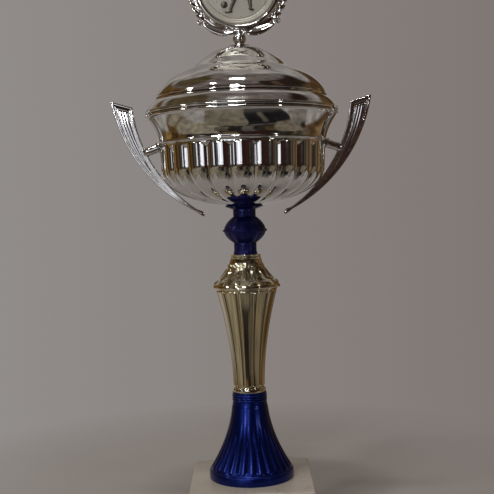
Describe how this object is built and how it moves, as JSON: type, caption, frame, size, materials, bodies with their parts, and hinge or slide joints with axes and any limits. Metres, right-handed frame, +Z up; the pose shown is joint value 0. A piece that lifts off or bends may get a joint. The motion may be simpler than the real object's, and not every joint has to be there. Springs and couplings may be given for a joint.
{
  "type": "cup trophy",
  "caption": "Covered two-handled presentation cup on a stacked stem and marble base, held by one threaded rod, with a lift-off lid and an emblem holder.",
  "frame": {"origin": "centre of the underside, on the surface the trophy stands on", "axes": "+Z up along the rod, +X through the right-hand handle, front faces -Y"},
  "size_m": [0.171, 0.1274, 0.3888],
  "materials": {
    "felt": "matt green felt",
    "marble": null,
    "zinc": "bright zinc plate",
    "candy_blue": "transparent blue over metallised plastic",
    "champagne": "pale gold metallised plastic",
    "navy": "dark blue over metallised plastic",
    "chrome": "polished chrome on spun metal",
    "chrome_plastic": "chromed moulded plastic",
    "foam": "double-sided foam pad",
    "satin_emblem": "satin embossed foil"
  },
  "bodies": {
    "trophy": {"base_felt": "felt", "marble_base": "marble", "rod_washer_lower": "zinc", "rod_nut_lower": "zinc", "tie_rod": "zinc", "foot_bell": "candy_blue", "stem_column": "champagne", "stem_collar": "champagne", "knop_lower": "navy", "knop_upper": "navy", "bowl_seat": "navy", "bowl": "chrome", "bowl_washer": "zinc", "rod_nut_upper": "zinc", "handle_left": "chrome_plastic", "handle_right": "chrome_plastic", "handle_screws": "zinc", "handle_washers": "zinc"},
    "lid": {"lid_shell": "chrome", "lid_washer": "zinc", "lid_screw": "zinc", "emblem_holder": "chrome_plastic", "emblem_pad": "foam", "emblem_disc": "satin_emblem"}
  },
  "joints": [
    {"name": "lid_lift", "type": "slide", "parent": "trophy", "child": "lid", "axis": [0, 0, 1], "range_m": [0, 0.12]}
  ]
}
